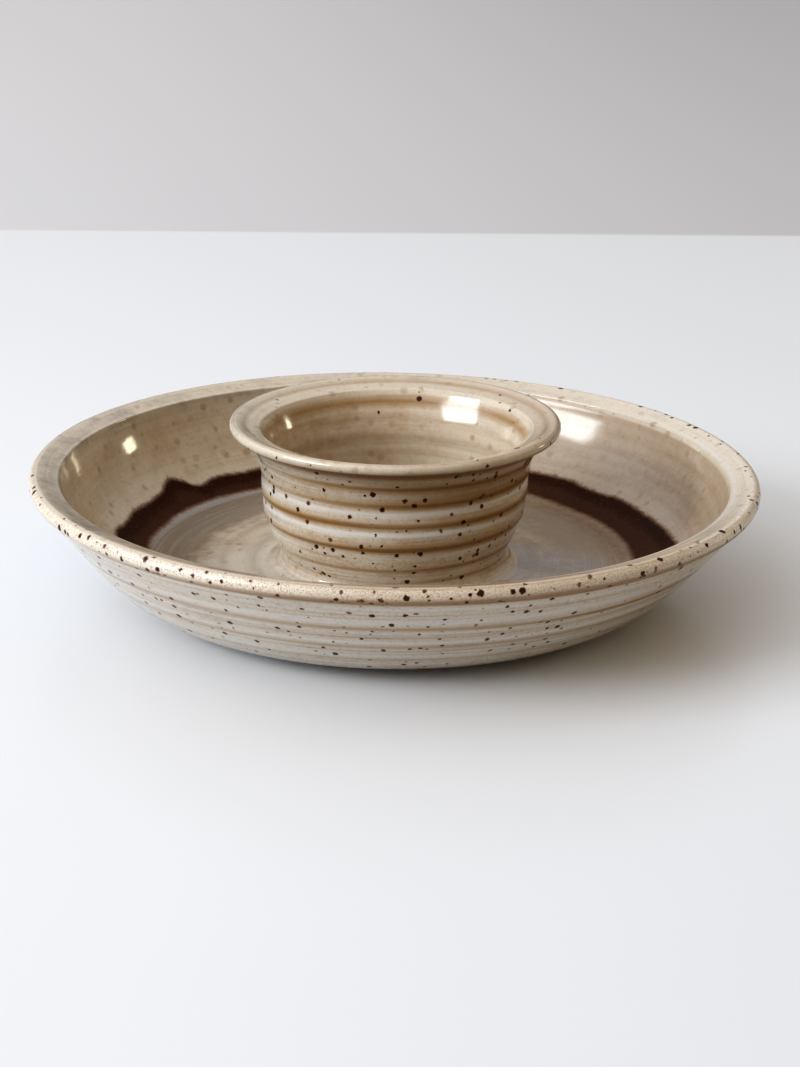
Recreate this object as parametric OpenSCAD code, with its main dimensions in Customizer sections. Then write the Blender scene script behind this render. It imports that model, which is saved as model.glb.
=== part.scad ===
// Chip and dip server in thrown stoneware, in millimetres, +Z up.
// A wide bowl for chips carries a small flared bowl for dip in the middle of
// its floor. The two are thrown apart and luted together with slip and a coil
// of soft clay, so nothing on the server moves.
// The origin is the centre of the face that the foot ring stands on.

/* [Chip bowl] */
// Outside diameter over the lip
bowl_d = 305; // [270:1:340]
// Height from the ground to the top of the lip
bowl_h = 54.5; // [46:0.5:75]
// Thickness of the wall where it is thinnest
bowl_wall = 5.7; // [4:0.1:9]
// Height of the flat floor above the ground
floor_z = 12.5; // [10:0.5:16]
// How far the flat floor runs out past the foot ring
floor_over = 6; // [2:0.5:10]
// Slope of the outside wall where it meets the lip
wall_lean = 51; // [45:1:58]
// Length over which that slope carries down the wall
wall_pull = 44; // [30:1:46]
// Length over which the wall runs out level from the foot
foot_pull = 30; // [20:1:38]

/* [Chip bowl rim] */
// Thickness of the rolled bead at the outer edge
lip_bead = 6.4; // [4:0.2:9]
// Width of the rim from its outermost edge to the inner crease
rim_w = 12.4; // [10:0.2:16]
// How far the rim falls from the bead to the inner crease
rim_drop = 2.4; // [1:0.2:4]

/* [Foot ring] */
// Outside diameter of the trimmed foot ring
foot_d = 172; // [150:1:190]
// Width of the ring that touches the ground
foot_w = 8; // [5:0.5:14]
// Height of the ring on its outer side
foot_h = 2; // [1.6:0.2:5]
// Depth of the hollow inside the ring
foot_recess = 1.8; // [1.4:0.1:3.8]

/* [Dip bowl] */
// Outside diameter over the lip
dip_d = 138.4; // [122:0.2:150]
// Height of the dip bowl from its own base
dip_h = 62; // [50:0.5:80]
// Diameter at the waist, under the flared rim
dip_waist_d = 112.4; // [100:0.2:120]
// Height of the waist above the dip bowl's base
dip_waist_h = 35; // [28:0.5:40]
// Diameter of the base that is luted to the floor
dip_base_d = 94.4; // [84:0.2:104]
// Thickness of the wall at the waist
dip_wall = 5.5; // [3.5:0.5:8]
// Thickness of the dip bowl's own bottom
dip_bottom = 6; // [4:0.5:9]
// Inside radius between the dip bowl's wall and bottom
dip_inner_r = 20; // [12:0.5:28]

/* [Dip bowl rim] */
// Thickness of the rolled bead at the outer edge
dip_bead = 4.4; // [3:0.2:6]
// Width of the rim from its outermost edge to the inner crease
dip_rim_w = 14; // [12:0.2:16.6]
// How far the rim falls from the bead to the inner crease
dip_rim_drop = 4.5; // [2:0.5:7]

/* [Throwing rings] */
// Distance along the chip bowl's wall from one ring to the next
bowl_ring_pitch = 12.7; // [6:0.1:20]
// Depth of the hollows that the fingers leave in the chip bowl's wall
bowl_ring_depth = 0.6; // [0:0.1:1.2]
// Distance from one ring to the next up the dip bowl's wall
dip_ring_pitch = 10.3; // [5:0.1:16]
// Depth of the hollows that the fingers leave in the dip bowl's wall
dip_ring_depth = 0.8; // [0:0.1:1.4]

/* [Luting] */
// Thickness of the slip under the dip bowl
slip_t = 0.5; // [0.2:0.1:1.5]
// Height of the coil of clay up the dip bowl's wall
coil_h = 5.2; // [3:0.2:8]
// Width of the coil of clay along the floor
coil_w = 6.6; // [3:0.2:10]

/* [Iron band] */
// Height of the band's inner edge above the floor
band_low = 1.8; // [0.6:0.1:4]
// Height of the band's outer edge above the floor
band_high = 8; // [5:0.1:14]
// Thickness of the brushed band
band_t = 0.35; // [0.2:0.05:0.8]

/* [Hidden] */

$fn = 180;
STONEWARE = "#C9BDA9";
WET_CLAY = "#B59A78";
IRON = "#3A1C10";

level = [1, 0];               // pointing outward along the ground
up = [0, 1];
crease = 0.6;                 // nick under a bead, where it is rolled over
foot_bevel = 1;               // wiped edge of the foot ring
floor_lead = 4.4;             // how far later the floor turns up than the outside wall
thin_outside = 0.735;         // share of the outside wall where the wall is thinnest
thin_inside = 0.6;            // share of the inside wall that lies across from it
soft_edge = 1.2;              // rounding of an inner crease
curve_steps = 24;             // points along a plain curve
ring_steps = 9;               // points along each finger hollow
bead_from = -70;              // the bead's arc starts this far below level
bead_steps = 12;

// ---- curves: every outline is a list of [radius, height] points ----

function along(angle, length) = length * [cos(angle), sin(angle)];
function unit(v) = v / norm(v);
function inward(v) = [-v[1], v[0]] / norm(v);

// Point at share t of the cubic curve with the four control points p.
function curve_at(p, t) =
    pow(1 - t, 3) * p[0] + 3 * t * pow(1 - t, 2) * p[1]
    + 3 * t * t * (1 - t) * p[2] + pow(t, 3) * p[3];

// The curve p from share t0 to share t1.
function curve(p, t0 = 0, t1 = 1, steps = curve_steps) =
    [for (i = [0:steps]) curve_at(p, t0 + (t1 - t0) * i / steps)];

// The curve from p0 towards p1 and on to p3 that passes through q at share t.
function curve_through(p0, p1, q, p3, t) =
    let (rest = pow(1 - t, 3) * p0 + 3 * t * pow(1 - t, 2) * p1 + pow(t, 3) * p3)
    [p0, p1, (q - rest) / (3 * t * t * (1 - t)), p3];

// Share of a rising curve p at which it reaches height z, by halving.
function share_at(p, z, low = 0, high = 1, rounds = 30) =
    let (middle = (low + high) / 2)
    rounds == 0 ? middle
    : curve_at(p, middle)[1] < z ? share_at(p, z, middle, high, rounds - 1)
    : share_at(p, z, low, middle, rounds - 1);

// A rising outside wall along p, hollowed between evenly spaced rings.
function thrown(p, pitch, depth) =
    let (
        reach = norm(p[3] - p[0]),
        rings = max(1, round(reach / pitch)),
        steps = rings * ring_steps
    )
    [for (i = [0:steps])
        let (
            t = i / steps,
            here = curve_at(p, t),
            ahead = curve_at(p, t + 0.001) - curve_at(p, t - 0.001),
            hollow = depth * abs(sin(180 * rings * norm(here - p[0]) / reach))
        )
        here + hollow * inward(ahead)];

// The rolled bead of a rim, from its crease up and over to its top.
function bead(edge_r, top_z, thickness) =
    let (r = thickness / 2, centre = [edge_r - r, top_z - r])
    [for (i = [0:bead_steps])
        centre + along(bead_from + (90 - bead_from) * i / bead_steps, r)];

// The corner b between a and c, rounded off.
function softened(a, b, c, size = soft_edge) =
    let (from = b + size * unit(a - b), to = b + size * unit(c - b))
    curve([from, (from + 2 * b) / 3, (to + 2 * b) / 3, to], steps = 5);

function reversed(points) = [for (i = [len(points) - 1:-1:0]) points[i]];

// ---- the chip bowl's lines ----

bowl_r = bowl_d / 2;
foot_r = foot_d / 2;
bowl_bead = bead(bowl_r, bowl_h, lip_bead);
bowl_crease = [bowl_r - rim_w, bowl_h - rim_drop];

// Outside wall, from the foot up to the nick under the bead.
wall_top = bowl_bead[0] - [crease, crease / 2];
outer_wall = [
    [foot_r, foot_h],
    [foot_r + foot_pull, foot_h],
    wall_top - along(wall_lean, wall_pull),
    wall_top
];

// Inside wall, from the floor up to the rim's inner crease. Where the wall is
// thinnest it passes one wall thickness in from the outside wall.
floor_r = foot_r + floor_over;
thin_point = curve_at(outer_wall, thin_outside);
thin_ahead = curve_at(outer_wall, thin_outside + 0.001) - thin_point;
inner_wall = curve_through(
    [floor_r, floor_z],
    [outer_wall[1][0] + floor_lead, floor_z],
    thin_point + bowl_wall * inward(thin_ahead),
    bowl_crease,
    thin_inside
);

band_from = share_at(inner_wall, floor_z + band_low);
band_to = share_at(inner_wall, floor_z + band_high);
band_seat = curve(inner_wall, band_from, band_to);

// ---- the dip bowl's lines ----

dip_z = floor_z + slip_t;
dip_top = dip_z + dip_h;
dip_r = dip_d / 2;
base_r = dip_base_d / 2;
waist = [dip_waist_d / 2, dip_z + dip_waist_h];
dip_lip = bead(dip_r, dip_top, dip_bead);
dip_crease = [dip_r - dip_rim_w, dip_top - dip_rim_drop];
coil_top = [base_r, floor_z + coil_h];

flare_reach = (dip_lip[0][1] - waist[1]) * 0.4;
belly_reach = (waist[1] - coil_top[1]) * 0.45;
base_lean = 70;               // slope of the wall above the coil

// Outside wall, from the coil up to the waist, then out under the rim.
lower_outside = [
    coil_top,
    coil_top + along(base_lean, belly_reach),
    waist - belly_reach * up,
    waist
];
flare_outside = [
    waist,
    waist + flare_reach * up,
    dip_lip[0] - [flare_reach, flare_reach / 3],
    dip_lip[0] - [crease, 0]
];

// Inside, from the bottom up to the waist, then out to the rim's crease.
inner_waist = waist - dip_wall * level;
bottom_edge = [base_r - dip_inner_r, dip_z + dip_bottom];
lower_inside = [
    bottom_edge,
    bottom_edge + dip_inner_r * level,
    inner_waist - belly_reach * up,
    inner_waist
];
flare_inside = [
    inner_waist,
    inner_waist + flare_reach * up,
    dip_crease - along(base_lean, flare_reach),
    dip_crease
];

// ---- the pieces ----

module turned(outline) {
    rotate_extrude() polygon(outline);
}

// The wide bowl, thrown with its rim and trimmed with a foot ring.
module chip_bowl() {
    above_band = curve(inner_wall, band_to, 1);
    inside_rim = softened(bowl_bead[bead_steps], bowl_crease, inner_wall[2]);
    foot_in = foot_r - foot_w;
    color(STONEWARE)
        turned(concat(
            [
                [0, foot_recess], [foot_in - foot_bevel, foot_recess],
                [foot_in, foot_bevel], [foot_in + foot_bevel, 0],
                [foot_r - foot_bevel, 0], [foot_r, foot_bevel]
            ],
            thrown(outer_wall, bowl_ring_pitch, bowl_ring_depth),
            bowl_bead,
            inside_rim,
            reversed([for (p = above_band) if (norm(p - bowl_crease) > soft_edge) p]),
            reversed([for (i = [1:curve_steps - 1]) band_seat[i]]),
            reversed(curve(inner_wall, 0, band_from)),
            [[0, floor_z]]
        ));
}

// The small flared bowl, thrown by itself and set down on the floor.
module dip_bowl() {
    inside_rim = softened(dip_lip[bead_steps], dip_crease, flare_inside[2]);
    color(STONEWARE)
        turned(concat(
            [[0, dip_z], [base_r, dip_z]],
            thrown(lower_outside, dip_ring_pitch, dip_ring_depth),
            [for (i = [1:curve_steps]) curve(flare_outside)[i]],
            dip_lip,
            inside_rim,
            reversed([for (p = curve(flare_inside)) if (norm(p - dip_crease) > soft_edge) p]),
            [for (i = [curve_steps - 1:-1:0]) curve(lower_inside)[i]],
            [[0, dip_z + dip_bottom]]
        ));
}

// The bed of slip that sticks the dip bowl's base to the floor.
module slip_bed() {
    color(WET_CLAY)
        translate([0, 0, floor_z]) cylinder(h = slip_t, r = base_r);
}

// The coil of soft clay, worked into the angle round the dip bowl's base.
module luting_coil() {
    cove_steps = 10;
    color(STONEWARE)
        turned(concat(
            [[base_r, floor_z], [base_r + coil_w, floor_z]],
            [for (i = [1:cove_steps])
                let (a = 90 * i / cove_steps)
                [base_r + coil_w * (1 - sin(a)), floor_z + coil_h * (1 - cos(a))]]
        ));
}

// The band of iron glaze, brushed on where the floor turns up into the wall.
module iron_band() {
    last = len(band_seat) - 1;
    face = [for (i = [0:last])
        let (
            before = band_seat[max(0, i - 1)],
            after = band_seat[min(last, i + 1)]
        )
        band_seat[i] + band_t * inward(after - before)];
    color(IRON)
        turned(concat(band_seat, reversed(face)));
}

chip_bowl();
dip_bowl();
slip_bed();
luting_coil();
iron_band();
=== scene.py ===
# The looks of a chip and dip server: two bowls of thrown stoneware, luted
# together and covered with a speckled oatmeal glaze. Metres, +Z up.
import math

import bmesh
import bpy
import numpy as np
from mathutils import Matrix, Vector


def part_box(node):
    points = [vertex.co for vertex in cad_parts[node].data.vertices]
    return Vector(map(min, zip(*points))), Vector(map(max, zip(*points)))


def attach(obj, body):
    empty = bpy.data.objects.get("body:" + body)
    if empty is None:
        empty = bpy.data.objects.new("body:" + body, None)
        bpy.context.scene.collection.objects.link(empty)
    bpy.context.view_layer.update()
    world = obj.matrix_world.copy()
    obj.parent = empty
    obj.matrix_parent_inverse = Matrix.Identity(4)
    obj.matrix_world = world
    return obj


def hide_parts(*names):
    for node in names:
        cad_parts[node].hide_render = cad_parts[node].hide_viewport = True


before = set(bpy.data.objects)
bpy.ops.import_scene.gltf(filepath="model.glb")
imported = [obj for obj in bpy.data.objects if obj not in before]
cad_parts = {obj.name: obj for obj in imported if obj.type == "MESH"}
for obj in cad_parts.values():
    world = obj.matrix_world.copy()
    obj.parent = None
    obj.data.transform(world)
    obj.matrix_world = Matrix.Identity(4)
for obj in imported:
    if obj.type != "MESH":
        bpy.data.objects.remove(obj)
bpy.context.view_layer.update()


# ---------------------------------------------------------------------------
# Chip bowl. The wide bowl, thrown in one piece from speckled stoneware with a
# rolled lip, then trimmed underneath to leave a foot ring. Its glaze breaks
# toasty brown on the throwing rings and pools pale in the hollows.
# ---------------------------------------------------------------------------

MM = 0.001


def curve(points, rows, first=0.0, last=1.0):
    """Cubic curve through the first and last of four [radius, height] points,
    pulled towards the middle two: the sum of the points, each times its
    Bernstein weight, at evenly spaced shares of the way."""
    t = np.linspace(first, last, rows)[:, None]
    weights = ((1 - t) ** 3, 3 * t * (1 - t) ** 2, 3 * t * t * (1 - t), t ** 3)
    return sum(w * np.asarray(p, float) for w, p in zip(weights, points))


def line(start, end, rows):
    """Evenly spaced points on the straight line from start to end."""
    t = np.linspace(0, 1, rows)[:, None]
    return (1 - t) * np.asarray(start, float) + t * np.asarray(end, float)


def rolled_lip(edge, top, thickness, rows):
    """Arc of a rolled lip: radius half the thickness, from 70 degrees below
    level up to its top."""
    a = np.radians(np.linspace(-70.0, 90.0, rows))[:, None]
    r = thickness / 2
    return np.array([edge - r, top - r]) + r * np.hstack([np.cos(a), np.sin(a)])


def smooth(x):
    """The S-shaped step 3x^2 - 2x^3 between 0 and 1, level outside them."""
    x = np.clip(x, 0.0, 1.0)
    return x * x * (3 - 2 * x)


def hump(x, width):
    """Bell curve exp(-(x / width)^2)."""
    return np.exp(-(x / width) ** 2)


def slope(angle, length):
    """Step of that length, at an angle in degrees above level."""
    return length * np.array([math.cos(math.radians(angle)), math.sin(math.radians(angle))])


def joined(runs):
    """Joins named runs of points into one outline. Returns it, the rows that
    each run takes up, and every point's distance along it."""
    outline = np.vstack(list(runs.values()))
    ends = np.cumsum([len(run) for run in runs.values()])
    rows_of = {key: slice(end - len(run), end) for (key, run), end in zip(runs.items(), ends)}
    steps = np.linalg.norm(np.diff(outline, axis=0), axis=1)
    return outline, rows_of, np.concatenate([[0], np.cumsum(steps)])[:, None]


def round_wheel(angles):
    """That many azimuths round the wheel, evenly spaced, as a grid's row."""
    return np.linspace(0, 2 * np.pi, angles, endpoint=False)[None, :]


def side(phi, turned=0.0):
    """Cosine that is 1 on the right of the wheel, or at a place turned that
    many radians towards its front, and -1 straight across from there."""
    return np.cos(phi + turned)


def wobble(phi, seed, size, waves=5):
    """Slow wander round the wheel: a sum of cosines of 1 to `waves` turns,
    each with a random phase and a weight that falls as one over its turns."""
    rng = np.random.default_rng(seed)
    turns = np.arange(1, waves + 1)
    phase = rng.uniform(0, 2 * np.pi, waves)
    weight = rng.normal(0, 1, waves) / turns
    return size * (weight * np.cos(turns * phi[..., None] + phase)).sum(-1)


def finger_rings(height, phi, rings, spread, seed):
    """Throwing rings on a wall. Each ring is (height of its crest, depth of
    the step under it, pale pooling below, brown breaking, gap to the next),
    in mm where it is a length. The wall steps in under the crest along an S
    and comes back evenly before the next one. The glaze breaks brown on the
    crest, over a width of about `spread`, darkens towards it from above and
    pools pale below it. Painted shade darkens a band just under each crest,
    and all of that brown is painted darker towards the front right, away
    from the window's light, as painted shade. Returns the relief, how thin
    the glaze is together with that painted shade, and how pooled it is."""
    step_width = 2.2 * MM
    pool_end = 7.0 * MM
    relief = np.zeros(np.broadcast_shapes(height.shape, phi.shape))
    thin_and_shade, pool_and_sheen = relief.copy(), relief.copy()
    # painted shade: how much darker the brown is painted at each azimuth, most towards the front right
    shade_side = 0.70 + 0.48 * side(phi, 0.6)
    for k, (crest, depth, pale, brown, gap) in enumerate(rings):
        below = crest * MM + wobble(phi, seed + k, 0.28 * MM) - height
        back = smooth((gap * MM - below) / (gap * MM))
        relief -= depth * MM * smooth(below / step_width) * back * (below > 0)
        break_and_shade = brown * np.clip(shade_side * (1 + wobble(phi, seed + 40 + k, 0.18, 9)), 0.15, 1.3)
        # the last of the three bells, just under the crest, is painted shade
        thin_and_shade += break_and_shade * (hump(below - 0.5 * spread, spread)
                          + 0.30 * hump(below + 1.5 * spread, 2.0 * spread)
                          + 0.32 * hump(below - 2.2 * spread, 1.3 * spread))
        sheet = smooth((below - step_width) / (1.6 * MM)) * smooth((pool_end - below) / (3.6 * MM))
        pool_and_sheen += pale * np.clip(1 + wobble(phi, seed + 70 + k, 0.20, 9), 0.5, 1.3) * sheet
    return relief, np.clip(thin_and_shade, 0, 1), np.clip(pool_and_sheen, 0, 1)


# What the mesh tells the glaze at each point: how warm its colour is,
# where warmer and greyer parts are also painted shade; how thin it lies,
# together with painted shade that darkens it the same way; how pooled it
# lies, together with painted sheen; how gritty the clay under it is, whether
# it is inside a bowl, painted with iron (which also carries a little painted
# shade on the floor), or near the band's burnt edge, and how far along the
# outline it lies. A mark that a piece doesn't give is 0.
GLAZE_MARKS = ("warm", "thin_and_shade", "pool_and_sheen", "grit", "inner", "iron", "burnt_edge", "along")


def turn(name, outline, relief, lift, marks, shut=False):
    """Turns an outline of [radius, height] points round the Z axis, on a grid
    of rows by angles. relief moves each grid point along the outline's normal
    (to the right of its direction) and lift moves it up. An open outline
    starts and ends on the axis, and its ends become poles; a shut one joins
    its last row to its first."""
    rows, angles = relief.shape
    phi = round_wheel(angles)
    ahead = np.gradient(outline, axis=0)
    ahead /= np.maximum(np.linalg.norm(ahead, axis=1, keepdims=True), 1e-12)
    radius = outline[:, :1] + relief * ahead[:, 1:]
    height = outline[:, 1:] - relief * ahead[:, :1] + lift
    points = np.stack([radius * np.cos(phi), radius * np.sin(phi), height], -1)
    if not shut:
        points[0] = (0, 0, outline[0, 1])
        points[-1] = (0, 0, outline[-1, 1])

    i, j = np.meshgrid(np.arange(rows if shut else rows - 1), np.arange(angles), indexing="ij")
    up, onward = (i + 1) % rows, (j + 1) % angles
    corners = [i * angles + j, i * angles + onward, up * angles + onward, up * angles + j]
    mesh = bpy.data.meshes.new(name)
    mesh.from_pydata(points.reshape(-1, 3).tolist(), [], np.stack(corners, -1).reshape(-1, 4).tolist())
    for mark in GLAZE_MARKS:
        values = np.broadcast_to(marks.get(mark, 0.0), (rows, angles)).astype(np.float32)
        mesh.attributes.new(mark, "FLOAT", "POINT").data.foreach_set("value", values.ravel())
    mesh.shade_smooth()
    piece = bpy.data.objects.new(name, mesh)
    bpy.context.scene.collection.objects.link(piece)
    if not shut:
        work = bmesh.new()
        work.from_mesh(mesh)
        bmesh.ops.remove_doubles(work, verts=work.verts, dist=1e-7)
        work.to_mesh(mesh)
        work.free()
    mesh.set_sharp_from_angle(angle=math.radians(48))
    return piece


class Value:
    """A socket inside a material. + - * and / add the Math node that works
    them out, with a number or another Value on either side."""

    def __init__(self, surface, socket):
        self.surface, self.socket = surface, socket

    def also(self, output):
        """Another output of the node that this one comes from."""
        return Value(self.surface, self.socket.node.outputs[output])

    def _sum(self, operation, a, b):
        return self.surface.node("Math", {"operation": operation}, {0: a, 1: b})

    def __add__(self, other): return self._sum("ADD", self, other)
    def __radd__(self, other): return self._sum("ADD", other, self)
    def __sub__(self, other): return self._sum("SUBTRACT", self, other)
    def __rsub__(self, other): return self._sum("SUBTRACT", other, self)
    def __mul__(self, other): return self._sum("MULTIPLY", self, other)
    def __rmul__(self, other): return self._sum("MULTIPLY", other, self)
    def __truediv__(self, other): return self._sum("DIVIDE", self, other)


class Surface:
    """The nodes of a material, or of the world, all made by one method."""

    def __init__(self, owner):
        owner.use_nodes = True
        self.owner = owner
        self.tree = owner.node_tree
        self.shader = self.tree.nodes.get("Principled BSDF") or self.tree.nodes["Background"]

    def node(self, kind, settings=None, sockets=None, out=0):
        """Adds a shader node of that kind, sets its settings, then fills its
        sockets with numbers, colours or other nodes' Values."""
        made = self.tree.nodes.new("ShaderNode" + kind)
        for key, value in (settings or {}).items():
            setattr(made, key, value)
        for key, value in (sockets or {}).items():
            self.put(made.inputs[key], value)
        return Value(self, made.outputs[out])

    def put(self, socket, value):
        """Fills a socket with a link, or with a number or a colour."""
        if isinstance(value, Value):
            self.tree.links.new(value.socket, socket)
        elif isinstance(value, tuple) and len(value) == 3 and socket.type == "RGBA":
            socket.default_value = (*value, 1.0)
        else:
            socket.default_value = value

    def mix(self, share, a, b):
        """Colour a where share is 0, b where it is 1."""
        return self.node("Mix", {"data_type": "RGBA"}, {0: share, 6: a, 7: b}, out=2)

    def larger(self, a, b):
        """The larger of two values at each point."""
        return self.node("Math", {"operation": "MAXIMUM"}, {0: a, 1: b})

    def vector(self, operation, *inputs):
        """A vector worked out from one to three others."""
        return self.node("VectorMath", {"operation": operation}, dict(enumerate(inputs)))

    def fade(self, value, low, high, to_low=0.0, to_high=1.0):
        """S-shaped step of a value from to_low at low to to_high at high."""
        return self.node("MapRange", {"interpolation_type": "SMOOTHSTEP"},
                         {0: value, 1: low, 2: high, 3: to_low, 4: to_high})

    def noise(self, where, size, detail=2.0, roughness=0.5):
        """Noise from 0 to 1 whose blobs are about `size` metres across."""
        return self.node("TexNoise", {}, {"Vector": where, "Scale": 1.0 / size, "Detail": detail,
                                          "Roughness": roughness})


def spots(s, where, cell, radius, soft, keep, offset):
    """Round spots: distance to the nearest of randomly placed points, one to
    a cell, cut off at a radius that differs from point to point. Some burnt
    darker than others; 0 between them, up to 1 in the darkest."""
    moved = s.vector("ADD", where, offset)
    distance = s.node("TexVoronoi", {"feature": "F1", "distance": "EUCLIDEAN"},
                      {"Vector": moved, "Scale": 1.0 / cell, "Randomness": 1.0}, out="Distance")
    lot = s.node("SeparateColor", {}, {0: distance.also("Color")})
    girth, burn = lot.also(1), lot.also(2)
    crowd = lot + 0.9 * (s.noise(moved, 5 * cell, 1.0) - 0.5)
    reach = (0.35 + 0.65 * girth) * (radius / cell)
    rim = s.fade(distance / reach, 1.0 - soft, 1.0, 1.0, 0.0)
    return rim * s.fade(crowd + keep, 1.0, 1.02) * (0.40 + 0.60 * burn)


# Glaze colours, as the share of light that the surface sends back.
WARM_TAN = (0.395, 0.285, 0.172)
OATMEAL = (0.530, 0.462, 0.362)
COOL_GREY = (0.168, 0.136, 0.106)
PALE_POOL = (0.640, 0.636, 0.625)
UMBER = (0.255, 0.168, 0.086)
TOAST = (0.200, 0.098, 0.024)
GOLD = (0.345, 0.218, 0.098)
SAND = (0.690, 0.638, 0.555)
FRECKLE = (0.310, 0.180, 0.076)
SLATE = (0.098, 0.084, 0.076)
SPECK = (0.018, 0.005, 0.003)
RUST = (0.140, 0.048, 0.010)
IRON_BLACK = (0.016, 0.0036, 0.0008)
IRON_BROWN = (0.034, 0.0118, 0.0056)
IRON_EDGE = (0.120, 0.044, 0.017)


def glaze(name, speckled):
    """Glossy oatmeal glaze over iron-bearing clay, with specks in that share
    of the places where one could be. The marks on the mesh say where it is
    warm, thin, pooled, gritty, inside a bowl or painted, and where shade or
    sheen is painted into its colour."""
    s = Surface(bpy.data.materials.new(name))
    here = s.node("TexCoord", out="Object")
    warm, thin_and_shade, pool_and_sheen, grit, inner, iron, burnt_edge, along = (
        s.node("Attribute", {"attribute_name": mark}, out="Fac") for mark in GLAZE_MARKS)
    outer = 1.0 - inner

    # what the fingers left: long round the wheel, short from foot to rim
    facing = s.vector("NORMALIZE", s.vector("MULTIPLY", here, (1.0, 1.0, 0.0)))

    def drawn_out(pitch):
        """Noise in lines `pitch` apart that run about a third of a turn."""
        run = s.node("CombineXYZ", {}, {0: 0.0, 1: 0.0, 2: along / pitch})
        return s.noise(s.vector("MULTIPLY_ADD", facing, (1.6, 1.6, 0.0), run), 1.0, 3.0, 0.55)

    lines = drawn_out(1.1 * MM)
    bands = drawn_out(7.0 * MM)
    streaks = (1.0 - grit) * (1.0 - 0.75 * inner)

    # what the kiln left, from clouds down to crumbs
    clouds = s.noise(here, 24 * MM, 3.0)
    blots = s.noise(here, 8.0 * MM)
    mottle = s.noise(here, 3.0 * MM, 3.0, 0.6)
    pores = s.noise(here, 1.3 * MM, 2.0, 0.7)
    grain = s.noise(here, 0.55 * MM, 2.0, 0.65)
    crumbs = s.noise(here, 0.30 * MM, 1.0)

    # the glaze drifts from slate through grey, oatmeal and tan to gold; it
    # pools pale, also where sheen is painted, wears to toast where it is thin
    # and where shade is painted, and shows sand on a lip
    drift = warm + (0.6 - 0.3 * inner) * (clouds - 0.5)
    drift = drift + (0.6 - 0.25 * inner) * (bands - 0.5)
    drift = drift + 0.4 * inner * (blots - 0.5)
    drift = drift + (0.5 - 0.3 * inner) * (mottle - 0.5)
    pooled_and_sheen = pool_and_sheen * (0.25 + 0.7 * mottle + 0.8 * lines)
    worn_and_shade = thin_and_shade * (0.35 + 0.3 * mottle + 0.35 * bands + 0.35 * clouds + 0.3 * grain)
    bare_and_shade = s.fade(worn_and_shade - 0.16 * outer, 0.05, 0.80)
    sandy = grit * (1.0 - 0.6 * bare_and_shade) * s.fade(grain, 0.30, 0.60)

    # iron specks burnt through from the clay, ragged ones and melted ones
    jitter = s.noise(here, 1.2 * MM).also("Color")
    shaken = s.vector("MULTIPLY_ADD", jitter, (1.3 * MM,) * 3, here)
    big = spots(s, shaken, cell=4.1 * MM, radius=1.75 * MM, soft=0.50, keep=0.90,
                offset=(0.0, 0.0, 0.0)) * s.fade(grit, 0.1, 0.6)
    small = spots(s, shaken, cell=4.4 * MM, radius=1.50 * MM, soft=0.50, keep=speckled - 0.9 * inner,
                  offset=(0.31, 0.17, 0.23))
    fine = spots(s, shaken, cell=2.2 * MM, radius=0.55 * MM, soft=0.7, keep=0.8 * speckled - 0.65 * inner,
                 offset=(0.13, 0.41, 0.07))
    melted = spots(s, here, cell=5.6 * MM, radius=2.9 * MM, soft=0.60, keep=0.48,
                   offset=(0.57, 0.29, 0.61)) * (1.0 - grit)
    burnt = s.larger(big, small)

    # painted iron, soft where it ran into the glaze
    ragged = iron + 0.45 * (mottle - 0.5) + 0.25 * (pores - 0.5)
    thick = burnt_edge + 0.9 * (bands - 0.5) + 0.5 * (blots - 0.5) + 0.5 * (mottle - 0.5)
    deep = s.mix(s.fade(thick, -0.1, 0.9), IRON_BROWN, IRON_BLACK)
    deep = s.mix(s.fade(pores, 0.50, 0.72) * 0.20, deep, IRON_EDGE)

    colour = s.mix(s.fade(drift, 0.0, 0.5), COOL_GREY, OATMEAL)
    for share, tint in (
            (s.fade(drift, -0.15, -0.60), SLATE),
            (s.fade(drift, 0.5, 1.0), WARM_TAN),
            (s.fade(drift, 1.1, 1.6), GOLD),
            (s.fade(lines, 0.53, 0.66) * 0.42 * streaks, PALE_POOL),
            (s.fade(lines, 0.46, 0.35) * 0.50 * streaks, UMBER),
            (s.fade(pores, 0.50, 0.34) * (0.24 - 0.18 * inner), PALE_POOL),
            (s.fade(pores, 0.52, 0.70) * (0.42 - 0.22 * inner), FRECKLE),
            (s.fade(pooled_and_sheen, 0.05, 0.95), PALE_POOL),
            (s.fade(worn_and_shade, 0.0, 0.50) * 0.85 * outer, GOLD),
            (bare_and_shade, TOAST),
            (sandy, s.mix(s.fade(worn_and_shade, 0.1, 0.6) * 0.5, SAND, WARM_TAN)),
            (grit * s.fade(grain, 0.48, 0.36) * 0.75, FRECKLE),
            (s.fade(crumbs, 0.68, 0.78) * (0.12 + 0.5 * grit), RUST),
            (melted * (0.06 + 0.70 * inner), UMBER),
            (s.fade(burnt, 0.0, 0.24) * 0.95, RUST),
            (s.fade(burnt, 0.30, 0.58), SPECK),
            (fine * 0.8, RUST),
            (s.fade(ragged, 0.05, 0.42) * 0.85, IRON_EDGE),
            (s.fade(ragged, 0.28, 0.78), deep)):
        colour = s.mix(share, colour, tint)

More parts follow.
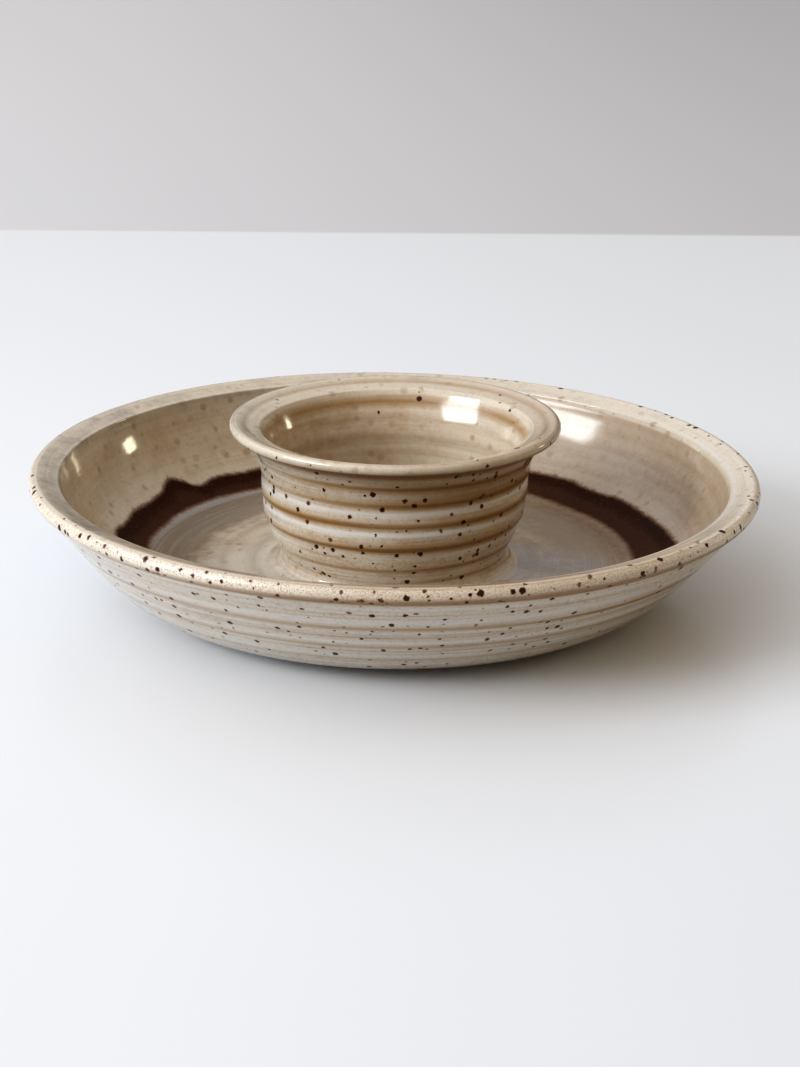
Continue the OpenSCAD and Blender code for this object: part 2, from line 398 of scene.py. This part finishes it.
    # a clear gloss, dry where it is painted with iron, burnt through or worn off,
    # and on an outside wall also where shade is painted into its colour
    rough = 0.06 + 0.05 * mottle + 0.24 * grit + 0.10 * bare_and_shade + 0.10 * burnt
    lumps = 0.35 * mottle + 0.14 * lines * streaks + (0.03 + 1.1 * grit) * grain
    lumps = (lumps + 0.5 * s.noise(here, 9 * MM, 1.0)) * (1.0 - 0.65 * inner) - 0.4 * burnt * grit
    bump = s.node("Bump", {}, {"Strength": 0.35, "Distance": 0.25 * MM, "Height": lumps}, out="Normal")
    s.put(s.shader.inputs["Base Color"], colour)
    s.put(s.shader.inputs["Roughness"], rough)
    s.put(s.shader.inputs["Normal"], bump)
    s.put(s.shader.inputs["IOR"], 1.55)
    dry = s.node("BsdfPrincipled", {}, {"Base Color": colour, "Roughness": 0.6, "Specular IOR Level": 0.02,
                                        "Normal": bump}, out="BSDF")
    matt = s.larger(s.fade(ragged, 0.0, 0.6), s.fade(burnt, 0.2, 0.6) * 0.85)
    matt = s.larger(matt, bare_and_shade * 0.6 * outer)
    satin = s.node("MixShader", {}, {0: matt, 1: Value(s, s.shader.outputs["BSDF"]), 2: dry})
    s.put(s.tree.nodes["Material Output"].inputs["Surface"], satin)
    return s.owner


bowl_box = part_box("chip_bowl")
bowl_edge = bowl_box[1].x
bowl_top = bowl_box[1].z
box_gap = 0.02 * MM           # keeps the lips just inside their solids
lip_thickness = 6.4 * MM
rim_width = 12.4 * MM         # from the lip's edge in to the crease
rim_fall = 2.4 * MM           # from the lip's top down to the crease
rim_slope = 14                # this and the next three in degrees above level
crease_slope = 76
wall_slope = 65.2
outside_slope = 51
wall_hollow = 1.8 * MM        # how deep the wall is hollowed under the crease
foot_edge = 86 * MM
foot_width = 8 * MM
foot_height = 2.0 * MM
foot_hollow = 1.8 * MM
floor_height = 12.5 * MM
rim_tilt = 0.011              # the right of the rim hangs lower, by this share of the radius
rim_drop = 0.35 * MM          # and all of it hangs lower by this
unevenness = 0.10 * MM        # how far the wall is out of round
bowl_angles = 500

lip = rolled_lip(bowl_edge - box_gap, bowl_top, lip_thickness, 16)
under_lip = lip[0] - np.array([0.6, 0.3]) * MM
rim_crease = np.array([bowl_edge - rim_width, bowl_top - rim_fall])
foot_inside = foot_edge - foot_width

outline, rows_of, along = joined({
    "under": line((0, foot_hollow), (foot_inside - 2 * MM, foot_hollow), 6),
    "foot_in": curve([(foot_inside - 1.5 * MM, foot_hollow), (foot_inside, foot_hollow),
                      (foot_inside, 0), (foot_inside + 1.4 * MM, 0)], 6),
    "foot_out": curve([(foot_edge - 1.4 * MM, 0), (foot_edge, 0),
                       (foot_edge, foot_height), (foot_edge + 0.6 * MM, foot_height)], 6),
    "outside": curve([(foot_edge, foot_height), (foot_edge + 30 * MM, foot_height),
                      under_lip - slope(outside_slope, 44 * MM), under_lip], 72, 0.02),
    "lip": lip,
    "rim": curve([lip[-1] - [0.3 * MM, 0], lip[-1] - [1.8 * MM, 0.1 * MM],
                  rim_crease + slope(rim_slope, 4 * MM), rim_crease + slope(rim_slope, 1.6 * MM)], 18),
    "crease": curve([rim_crease + slope(rim_slope, 1.0 * MM), rim_crease, rim_crease,
                     rim_crease - slope(crease_slope, 1.0 * MM)], 6),
    "inside": curve([(foot_edge + 6 * MM, floor_height), (foot_edge + 34.4 * MM, floor_height),
                     rim_crease - slope(wall_slope, 23.35 * MM), rim_crease], 46, 0.96, 0.0),
    "floor": line((foot_edge + 4 * MM, floor_height), (0, floor_height), 22),
})
phi = round_wheel(bowl_angles)
shape = (len(outline), bowl_angles)
relief, thin_and_shade, pool_and_sheen, grit, inner, iron, burnt_edge = (np.zeros(shape) for _ in range(7))
# warmer tan towards the right, the side away from the window: painted shade
warm = 0.48 + 0.18 * smooth(side(phi)) * np.ones(shape)
height = outline[:, 1:]
radius = outline[:, :1]

# outside wall: throwing rings, then pale bands of (height, strength, width)
bowl_rings = [(33.6, 0.20, 0.15, 0.85, 9), (29.2, 0.04, 0.05, 0.30, 5), (23.4, 0.14, 0.15, 0.50, 8),
              (20.6, 0.03, 0.05, 0.20, 4), (15.0, 0.08, 0.05, 0.25, 6)]
pale_bands = [(37.2, 0.40, 1.2), (31.1, 0.25, 0.8), (25.2, 0.45, 1.1), (19.4, 0.20, 0.6), (16.9, 0.30, 0.9)]
out = rows_of["outside"]
relief[out], thin_and_shade[out], pool_and_sheen[out] = finger_rings(height[out], phi, bowl_rings, 0.55 * MM, 3)
for place, pale, width in pale_bands:
    level = place * MM + wobble(phi, int(place), 0.3 * MM)
    pool_and_sheen[out] += pale * hump(height[out] - level, width * MM)
thin_and_shade[out] += 0.75 * hump(height[out] - under_lip[1] - 0.1 * MM, 0.5 * MM)
pool_and_sheen[out] += 0.10 * smooth((height[out] - 10 * MM) / (30 * MM))
# browner towards the right, away from the window: painted shade
thin_and_shade[out] += 0.18 * smooth(2 * side(phi) - 1)
# paler towards the left, where the window's light falls: painted sheen
pool_and_sheen[out] += 0.09 * (1 - side(phi))

# lip and rim: gritty where the glaze ran off, the sand colour reaching less
# far over the lip's top on the left; painted shade under the lip, most on
# the front right, and painted sheen on the flange's right
lip_rows = rows_of["lip"]
rim_rows = rows_of["rim"]
brink = slice(lip_rows.start, rim_rows.stop)
round_lip = along[brink] - along[lip_rows.start]
lip_length = along[lip_rows.stop - 1] - along[lip_rows.start]
past_lip = round_lip - lip_length + 1.7 * MM - 1.3 * MM * side(phi)
grit[brink] = smooth(round_lip / (1.2 * MM)) * (1 - smooth(past_lip / (3.5 * MM)))
grit[brink] *= 0.5 + 0.5 * smooth((round_lip - 1.8 * MM) / (2.5 * MM))
# the lip's underside is browner, partly thin glaze and partly painted shade that grows towards the right; the
# next line adds painted shade on the front right
thin_and_shade[brink] += (0.55 + 0.42 * side(phi, 0.2)) * smooth((4.5 * MM - round_lip) / (3.0 * MM))
thin_and_shade[brink] += 0.34 * smooth(2.2 * side(phi, 1.22) - 1.2)
thin_and_shade[brink] += 0.30 * hump(round_lip - lip_length + 1.1 * MM, 0.5 * MM)
# paler on the flange towards the right, where it faces the window: painted sheen
pool_and_sheen[rim_rows] += 0.14 * (1 + side(phi))
thin_and_shade[rim_rows] += 0.12
shoulder = slice(rim_rows.start, rows_of["inside"].stop)
pool_and_sheen[shoulder] += 0.30 * hump(radius[shoulder] - rim_crease[0] - 0.8 * MM, 1.1 * MM)

# inside wall: it drops steeply under the crease, then sweeps to the floor,
# with soft rings of (distance below the crease, height)
inside = rows_of["inside"]
reach = along - along[inside.start]
inner[rim_rows.start:] = 0.80 + 0.20 * smooth((reach[rim_rows.start:] + 7 * MM) / (9 * MM))
inner[lip_rows] = 0.80 * smooth(round_lip[:lip_rows.stop - lip_rows.start] / lip_length)
fall = np.clip((reach + 2.2 * MM) / (21 * MM), 0, 1)
hollow = fall * (2 - fall) * (1 - smooth((reach - 20 * MM) / (28 * MM)))
relief[shoulder] -= wall_hollow * hollow[shoulder]
for k, (place, tall) in enumerate(((8, 0.10), (15, 0.16), (21, 0.12), (28, 0.18), (36, 0.10), (42, 0.14))):
    ring = hump(reach[inside] - place * MM - wobble(phi, 60 + k, 0.6 * MM), 1.8 * MM)
    relief[inside] += 0.2 * tall * MM * ring
    thin_and_shade[inside] += 0.06 * ring
# browner all round, and more towards the right, where the extra is painted shade
thin_and_shade[inside] += 0.04 + 0.21 * (1 + side(phi))

# floor: flat rings round the place where the dip bowl stands
floor_rows = rows_of["floor"]
for k, place in enumerate((60, 66, 72.5, 79, 86)):
    ring = hump(radius[floor_rows] - place * MM - wobble(phi, 80 + k, 0.5 * MM), 1.5 * MM)
    relief[floor_rows] += 0.12 * MM * ring
    thin_and_shade[floor_rows] += 0.24 * ring
thin_and_shade[floor_rows] += 0.10

# the brushed band between two wandering edges: radius in mm at each azimuth,
# with the brush's last overlap as a lump on the outer edge at 145 degrees
outer_edge = [(0, 119.0), (5, 118.5), (12, 117.8), (20, 117.5), (33, 118.0), (37, 116.9), (43, 117.4),
              (47, 118.8), (58, 118.6), (90, 119.4), (123, 119.2), (127, 118.5), (131, 119.3), (135, 119.2),
              (138, 117.4), (139.5, 117.6), (141, 120.0), (143, 122.9), (145.3, 124.1), (147.4, 122.4),
              (150, 120.3), (156, 119.1), (162, 119.9), (166, 118.8), (169.5, 118.3), (174, 119.6),
              (180, 117.7), (184, 118.9), (215, 118.0), (270, 119.5), (315, 118.2), (345, 118.8)]
inner_edge = [(0, 102.7), (20, 103.3), (40, 103.9), (49, 105.0), (58, 106.5), (90, 107.5), (124, 108.4),
              (139, 109.3), (154, 108.7), (158, 107.4), (171, 106.8), (175, 105.9), (185, 105.3),
              (215, 104.0), (270, 103.2), (315, 102.8)]


def edge_at(phi, points):
    """Radius of a wandering edge: straight between the listed azimuths, then
    rounded off by averaging over a degree either side."""
    azimuth, reach = np.array(points, float).T
    steps = np.linspace(-1.0, 1.0, 9)[:, None, None]
    return np.interp(np.degrees(phi) + steps, azimuth, reach * MM, period=360.0).mean(0)


band_outer = edge_at(phi, outer_edge) + wobble(phi, 12, 0.22 * MM, 30)
band_inner = edge_at(phi, inner_edge) + wobble(phi, 11, 0.22 * MM, 20)
painted_rows = slice(inside.start, floor_rows.stop)
r = radius[painted_rows]
iron[painted_rows] = smooth(0.5 + (r - band_inner) / (6.6 * MM)) * smooth(0.5 + (band_outer - r) / (5.0 * MM))
# painted shade on the floor towards the right, beside the band, laid on in the iron's colour
iron[painted_rows] += 0.19 * smooth(side(phi)) * hump(r - 98 * MM, 8 * MM)
burnt_edge[painted_rows] = smooth(1.15 - (band_outer - r) / (8 * MM))
pool_and_sheen[painted_rows] += 0.15 * hump(r - band_outer - 3.6 * MM, 3.0 * MM)

# warmth: the wall is warm, painted warmer tan on the left, which faces
# away from the window, and greyer on the right, both painted shade; the
# floor is cooler beside the band, and painted greyer towards the right as
# shade
wall_warm = 0.60 - 0.10 * side(phi)
floor_warm = 0.30 - 0.16 * side(phi) - 0.62 * hump(r - 99 * MM, 16 * MM)
warm[painted_rows] = floor_warm + (wall_warm - floor_warm) * smooth((r - 108 * MM) / (8 * MM))
# the flange is painted greyer on the left, where it tilts away from the window: painted shade
warm[rim_rows.start:inside.start] = 0.42 + 0.10 * side(phi)
warm[inside] = 0.44 + (warm[inside] - 0.44) * smooth(reach[inside] / (7 * MM))
# browner at the crease on the left: painted shade
thin_and_shade[shoulder] += 0.10 * (1 - side(phi)) * hump(reach[shoulder] + 1 * MM, 5 * MM)

# the rim is a little out of level, and the wall a little out of round
share_up = smooth((height - floor_height) / (bowl_top - floor_height))
bowl_lift = share_up * (-rim_tilt * bowl_edge * side(phi) - rim_drop)
bowl_lift = np.where(height <= floor_height, 0, bowl_lift)
steady = smooth((height - foot_height) / (8 * MM)) * smooth((lip[0][1] - 2 * MM - height) / (8 * MM))
relief += unevenness * wobble(phi, 5, 1.0, 9) * steady

marks = {"warm": warm, "thin_and_shade": np.clip(thin_and_shade, 0, 1), "pool_and_sheen": np.clip(pool_and_sheen, 0, 1), "grit": grit,
         "inner": inner, "iron": iron, "burnt_edge": burnt_edge, "along": along}
chip_bowl = turn("chip_bowl_stoneware", outline, relief, bowl_lift, marks)
chip_bowl.data.materials.append(glaze("chip_bowl_glaze", 0.60))
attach(chip_bowl, "root")
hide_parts("chip_bowl", "iron_band")


# ---------------------------------------------------------------------------
# Dip bowl. The small bowl, thrown by itself with deep throwing rings and a
# wide flared rim, set down on the chip bowl's floor while both were
# leather-hard.
# ---------------------------------------------------------------------------

dip_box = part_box("dip_bowl")
dip_edge = dip_box[1].x
dip_top = dip_box[1].z
dip_foot = dip_box[0].z
base_edge = 47.2 * MM
waist = np.array([56.2 * MM, dip_foot + 35 * MM])
dip_wall = 5.5 * MM
dip_floor = dip_foot + 6 * MM
flange_slope = 19             # this and the next three in degrees above level
crease_slope = 61
throat_slope = 61.3
seat_slope = 70
left_belly = 0.6 * MM         # half of what the lower wall swells on the left
unevenness = 0.08 * MM
coil_height = 5.2 * MM
dip_angles = 448

dip_lip = rolled_lip(dip_edge - box_gap, dip_top, 4.4 * MM, 14)
lip_foot = dip_lip[0][1]
dip_crease = np.array([dip_edge - 12.8 * MM, dip_top - 3.4 * MM])
coil_top = np.array([base_edge, floor_height + coil_height])
flare = (lip_foot - waist[1]) * 0.4
belly = (waist[1] - coil_top[1]) * 0.45
inner_waist = waist - [dip_wall, 0]
bottom_edge = np.array([base_edge - 20 * MM, dip_floor])

outline, rows_of, along = joined({
    "base": line((0, dip_foot), (base_edge, dip_foot), 3),
    "seat": line((base_edge, dip_foot + 0.4 * MM), coil_top - [0, 0.6 * MM], 4),
    "lower": curve([coil_top, coil_top + slope(seat_slope, belly), waist - [0, belly], waist], 40),
    "flare": curve([waist, waist + [0, flare], dip_lip[0] - [flare, flare / 3],
                    dip_lip[0] - [0.6 * MM, 0]], 30, 0.03),
    "lip": dip_lip,
    "rim": curve([dip_lip[-1] - [0.3 * MM, 0], dip_lip[-1] - [1.5 * MM, 0.1 * MM],
                  dip_crease + slope(flange_slope, 4 * MM), dip_crease + slope(flange_slope, 1.6 * MM)], 20),
    "crease": curve([dip_crease + slope(flange_slope, 1.2 * MM), dip_crease, dip_crease,
                     dip_crease - slope(crease_slope, 1.4 * MM)], 8),
    "in_flare": curve([inner_waist, inner_waist + [0, flare / 4],
                       dip_crease - slope(throat_slope, 2.1 * flare), dip_crease], 22, 0.9, 0.0),
    "in_lower": curve([bottom_edge, bottom_edge + [20 * MM, 0], inner_waist - [0, belly],
                       inner_waist], 34, 0.97, 0.0),
    "bottom": line(bottom_edge - [1 * MM, 0], (0, dip_floor), 8),
})
phi = round_wheel(dip_angles)
shape = (len(outline), dip_angles)
relief, thin_and_shade, pool_and_sheen, grit, inner = (np.zeros(shape) for _ in range(5))
# warmer tan towards the front right, away from the window: painted shade
warm = 0.54 + 0.20 * side(phi, 0.7) * np.ones(shape)
height = outline[:, 1:]
radius = outline[:, :1]

# outside wall: deep rings, a fuller belly on the left, and painted shade:
# a dark band under the lip and a darker front right
dip_rings = [(62.3, 0.40, 0.30, 0.80, 6), (55.0, 0.35, 0.75, 0.60, 8), (45.2, 0.80, 0.80, 1.1, 10),
             (35.6, 0.75, 0.50, 1.1, 10), (25.4, 0.35, 0.30, 0.60, 6), (18.9, 0.15, 0.2, 0.3, 5)]
out = slice(rows_of["lower"].start, rows_of["flare"].stop)
relief[out], thin_and_shade[out], pool_and_sheen[out] = finger_rings(height[out], phi, dip_rings, 0.95 * MM, 21)
swell = smooth((height[out] - coil_top[1]) / (6 * MM)) * smooth((46 * MM - height[out]) / (16 * MM))
relief[out] += left_belly * (1 - side(phi)) * swell
under = lip_foot - height[out]
relief[out] -= 0.45 * MM * hump(under - 2.0 * MM, 1.3 * MM)
# dark band under the lip, strongest on the front right: painted shade
thin_and_shade[out] += (0.74 + 0.32 * side(phi, 0.8)) * hump(under - 2.3 * MM, 2.0 * MM)
# darker on the front right below the top ring: painted shade
thin_and_shade[out] += 0.10 * (1 + side(phi, 0.8)) * hump(height[out] - 57.5 * MM, 3.5 * MM)
pool_and_sheen[out] += 0.30 * hump(under - 4.4 * MM, 0.8 * MM)

# lip and flange: thin on the lip's shoulder, with a golden crease inside;
# the lip's underside is browner, partly thin glaze and partly painted
# shade, and the lip is painted browner towards the right as shade
lip_rows = rows_of["lip"]
rim_rows = rows_of["rim"]
brink = slice(lip_rows.start, rim_rows.stop)
inside = slice(rows_of["in_flare"].start, rows_of["in_lower"].stop)
edge = slice(rim_rows.start, inside.stop)
reach = along - along[inside.start]
on_lip = height[lip_rows] - lip_foot
grit[lip_rows] = 0.15 * smooth(on_lip / (1.2 * MM))
thin_and_shade[brink] += 0.35 * hump(along[brink] - along[lip_rows.stop - 1] + 0.6 * MM, 0.7 * MM)
# lip's underside: partly thin glaze, partly painted shade that grows towards the right
thin_and_shade[lip_rows] += (0.36 + 0.30 * side(phi, 0.8)) * smooth((1.5 * MM - on_lip) / (1.6 * MM))
# browner towards the right: painted shade
thin_and_shade[brink] += 0.10 * (1 + side(phi))
relief[edge] -= 0.35 * MM * hump(radius[edge] - dip_edge + 7.2 * MM, 2.2 * MM)
thin_and_shade[edge] += 0.30 * hump(reach[edge] + 0.2 * MM, 1.7 * MM) * (0.65 + 0.35 * np.sin(phi))
thin_and_shade[edge] += 0.22 * hump(radius[edge] - dip_edge + 6.4 * MM, 1.2 * MM)
pool_and_sheen[edge] += 0.30 * hump(reach[edge] + 3.0 * MM, 1.4 * MM)
pool_and_sheen[rim_rows] += 0.04
thin_and_shade[rim_rows] += 0.12
inner[rim_rows.start:] = 0.75 + 0.25 * smooth((reach[rim_rows.start:] + 6 * MM) / (8 * MM))
inner[lip_rows] = 0.75 * smooth(on_lip / (1.5 * MM))

# inside wall: soft rings of (distance below the crease, height)
for k, (place, tall) in enumerate(((7, 0.2), (15, 0.28), (23, 0.3), (31, 0.3), (40, 0.3), (49, 0.2))):
    ring = hump(reach[inside] - place * MM - wobble(phi, 160 + k, 0.5 * MM), 1.6 * MM)
    relief[inside] += 0.5 * tall * MM * ring
    thin_and_shade[inside] += 0.12 * ring
thin_and_shade[inside] += 0.24
# warmer tan inside on the left, the side in shade: painted shade
warm[rim_rows.start:] = 0.50 + (0.16 - 0.16 * side(phi)) * smooth(reach[rim_rows.start:] / (6 * MM))
warm[edge] += 1.05 * hump(reach[edge] + 0.2 * MM, 2.0 * MM) * (0.75 + 0.25 * np.sin(phi))

# the wall is a little out of round, and the rim a little out of level
steady = smooth((height - coil_top[1]) / (8 * MM)) * smooth((lip_foot - 2 * MM - height) / (6 * MM))
relief += unevenness * wobble(phi, 15, 1.0, 9) * steady
share_up = smooth((height - waist[1]) / (dip_top - waist[1]))
dip_lift = -0.15 * MM * share_up * (1 + np.cos(2 * phi + 1.0))

marks = {"warm": warm, "thin_and_shade": np.clip(thin_and_shade, 0, 1), "pool_and_sheen": np.clip(pool_and_sheen, 0, 1), "grit": grit,
         "inner": inner, "along": along}
dip_bowl = turn("dip_bowl_stoneware", outline, relief, dip_lift, marks)
dip_bowl.data.materials.append(glaze("dip_bowl_glaze", 0.80))
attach(dip_bowl, "root")
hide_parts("dip_bowl")


# ---------------------------------------------------------------------------
# Luting coil. A roll of soft clay pressed into the angle round the dip bowl's
# base and smoothed with a finger, so that wall and floor meet in a cove.
# ---------------------------------------------------------------------------

coil_width = 6.6 * MM
tuck = 0.25 * MM              # how far the feathered edges sink into their bowls
a = np.linspace(0, np.pi / 2, 22)
cove = np.stack([base_edge + coil_width * (1 - np.sin(a)), floor_height + coil_height * (1 - np.cos(a))], 1)
outline, _, along = joined({
    "floor_side": [[base_edge - tuck, floor_height - tuck], [base_edge + coil_width, floor_height - tuck]],
    "cove": cove,
    "wall_side": [[base_edge - tuck, floor_height + coil_height]],
})
shape = (len(outline), dip_angles)
pool_and_sheen = 0.1 * hump(outline[:, 1:] - floor_height - 2.0 * MM, 2.0 * MM)
marks = {"warm": 0.34, "thin_and_shade": 0.16, "pool_and_sheen": pool_and_sheen, "inner": 0.5, "along": along}
coil = turn("luting_coil_clay", outline, np.zeros(shape), 0.0, marks, shut=True)
coil.data.materials.append(glaze("luting_coil_glaze", 0.60))
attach(coil, "root")
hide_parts("luting_coil")


# ---------------------------------------------------------------------------
# Slip bed. The skin of clay slip between the two bowls. It stays as it is
# under the dip bowl and only gets the look of dry fired clay.
# ---------------------------------------------------------------------------

DARK_CLAY = (0.42, 0.30, 0.19)
LIGHT_CLAY = (0.55, 0.42, 0.29)

slip = Surface(bpy.data.materials.new("fired_slip"))
here = slip.node("TexCoord", out="Object")
slip.put(slip.shader.inputs["Base Color"], slip.mix(slip.noise(here, 2 * MM, 4.0), DARK_CLAY, LIGHT_CLAY))
slip.put(slip.shader.inputs["Roughness"], 0.9)
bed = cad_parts["slip_bed"]
bed.data.materials.clear()
bed.data.materials.append(slip.owner)


# ---------------------------------------------------------------------------
# Floor. A plain pale sheet, painted satin, that turns a little greyer far
# behind. It looks paler than the light that it throws back on the bowl.
# Where it is seen, it has painted light: a little lighter on the left, the
# window's side, and darker towards the front and the right.
# ---------------------------------------------------------------------------

NEAR_WHITE = (0.798, 0.836, 0.895)
THROWN_BACK = (0.600, 0.605, 0.620)
FAR_LEFT = (0.602, 0.614, 0.653)
FAR_RIGHT = (0.400, 0.405, 0.433)
floor_reach = 6.0
far_edge = 0.735              # where the greyer part starts, behind the server

mesh = bpy.data.meshes.new("floor")
corners = floor_reach * np.array([[-1, -1, 0], [1, -1, 0], [1, 1, 0], [-1, 1, 0]])
mesh.from_pydata(corners.tolist(), [], [(0, 1, 2, 3)])
floor = bpy.data.objects.new("floor", mesh)
bpy.context.scene.collection.objects.link(floor)

paint = Surface(bpy.data.materials.new("floor_paint"))
sideways = paint.node("SeparateXYZ", {}, {0: paint.node("TexCoord", out="Object")})
backwards = sideways.also("Y")
rays = paint.node("LightPath")
seen = paint.larger(rays.also("Is Camera Ray"), rays.also("Is Glossy Ray"))
# painted light: a little lighter on the left, the window's side, and darker towards the front and the right
painted_falloff = paint.fade(backwards, -0.45, 0.10, 0.815, 0.915) + paint.fade(sideways, -0.3, 0.3, 0.05, -0.05)
pale = paint.node("VectorMath", {"operation": "SCALE"}, {0: NEAR_WHITE, "Scale": painted_falloff})
near_colour = paint.mix(seen, THROWN_BACK, pale)
# the greyer part behind is painted lighter on the left, the window's side: painted light
far_colour = paint.mix(paint.fade(sideways, -0.6, 0.6), FAR_LEFT, FAR_RIGHT)
far = paint.fade(backwards, far_edge - 4 * MM, far_edge + 8 * MM)
paint.put(paint.shader.inputs["Base Color"], paint.mix(far, near_colour, far_colour))
paint.put(paint.shader.inputs["Roughness"], paint.fade(far, 0.0, 1.0, 0.30, 0.9))
floor.data.materials.append(paint.owner)


# ---------------------------------------------------------------------------
# Light. One soft window low on the left, a small lamp far on the right that
# the glaze mirrors, and a room that is cool on one side, warm on the other.
# ---------------------------------------------------------------------------

COOL_SIDE = (0.88, 0.91, 0.96)
WARM_SIDE = (0.450, 0.320, 0.170)
WINDOW_GLOW = (0.95, 0.975, 1.0)
SEEN_BEHIND = (0.34, 0.335, 0.34)
BLACK = (0.0, 0.0, 0.0)
room_strength = 1.25
lit_point = Vector((0, 0, 0.04))
window_distance = 3.4
window_way = Vector((-0.834, -0.380, 0.455)).normalized()


def lamp(name, place, width, height, watts, colour):
    """Rectangular lamp at a place, facing the lit point."""
    light = bpy.data.lights.new(name, "AREA")
    light.shape, light.size, light.size_y = "RECTANGLE", width, height
    light.energy, light.color = watts, colour
    made = bpy.data.objects.new(name, light)
    made.location = place
    made.visible_camera = False
    made.rotation_euler = (lit_point - place).to_track_quat("-Z", "Y").to_euler()
    bpy.context.scene.collection.objects.link(made)


lamp("window", window_distance * window_way + lit_point,
     width=2.00, height=1.12, watts=102.0, colour=(0.96, 0.98, 1.0))
lamp("far_lamp", Vector((1.40, 0.72, 0.37)),
     width=0.15, height=0.15, watts=1.3, colour=(1.0, 0.90, 0.62))

world = bpy.data.worlds.new("pale_room")
bpy.context.scene.world = world
room = Surface(world)
way = room.node("TexCoord", out="Generated")


def towards(direction):
    """How far a ray points that way: 1 straight there, -1 straight away."""
    return room.node("VectorMath", {"operation": "DOT_PRODUCT"}, {0: way, 1: direction}, out="Value")


# the room darkens overhead and glows round the window
rise = towards((0.0, 0.0, 1.0))
ambient = room.mix(room.fade(towards((0.8, -0.6, 0.0)), -0.9, 0.9), COOL_SIDE, WARM_SIDE)
ambient = room.mix(room.fade(rise, 0.0, 0.68, 0.95, 0.0), ambient, BLACK)
glow = room.fade(towards(tuple(window_way)), 0.55, 1.0, 0.0, 0.9) * room.fade(rise, 0.08, 0.40)
sky = room.node("Mix", {"data_type": "RGBA", "blend_type": "ADD"},
                {0: glow, 6: ambient, 7: WINDOW_GLOW}, out=2)
by_camera = room.node("LightPath", out="Is Camera Ray")
room.put(room.shader.inputs["Color"], room.mix(by_camera, sky, SEEN_BEHIND))
room.put(room.shader.inputs["Strength"], room_strength)


# ---------------------------------------------------------------------------
# Camera. A long lens one metre away, looking down on the rim at 17 degrees
# with less than half a degree of roll.
# ---------------------------------------------------------------------------

camera_distance = 1.0
camera_rise = math.radians(17.242)
camera_roll = math.radians(0.43)
camera_lens = 80.25
film_width = 36
aim = Vector((2.3 * MM, 0, 23.8 * MM))
rim_centre = Vector((0, 0, bowl_top))
place = rim_centre + camera_distance * Vector((0, -math.cos(camera_rise), math.sin(camera_rise)))
camera = bpy.data.objects.new("camera", bpy.data.cameras.new("camera"))
camera.data.lens = camera_lens
camera.data.sensor_width = film_width
camera.location = place
turned = (aim - place).to_track_quat("-Z", "Y").to_matrix() @ Matrix.Rotation(camera_roll, 3, "Z")
camera.rotation_euler = turned.to_euler()
bpy.context.scene.collection.objects.link(camera)
bpy.context.scene.camera = camera
bpy.context.scene.view_settings.view_transform = "Standard"
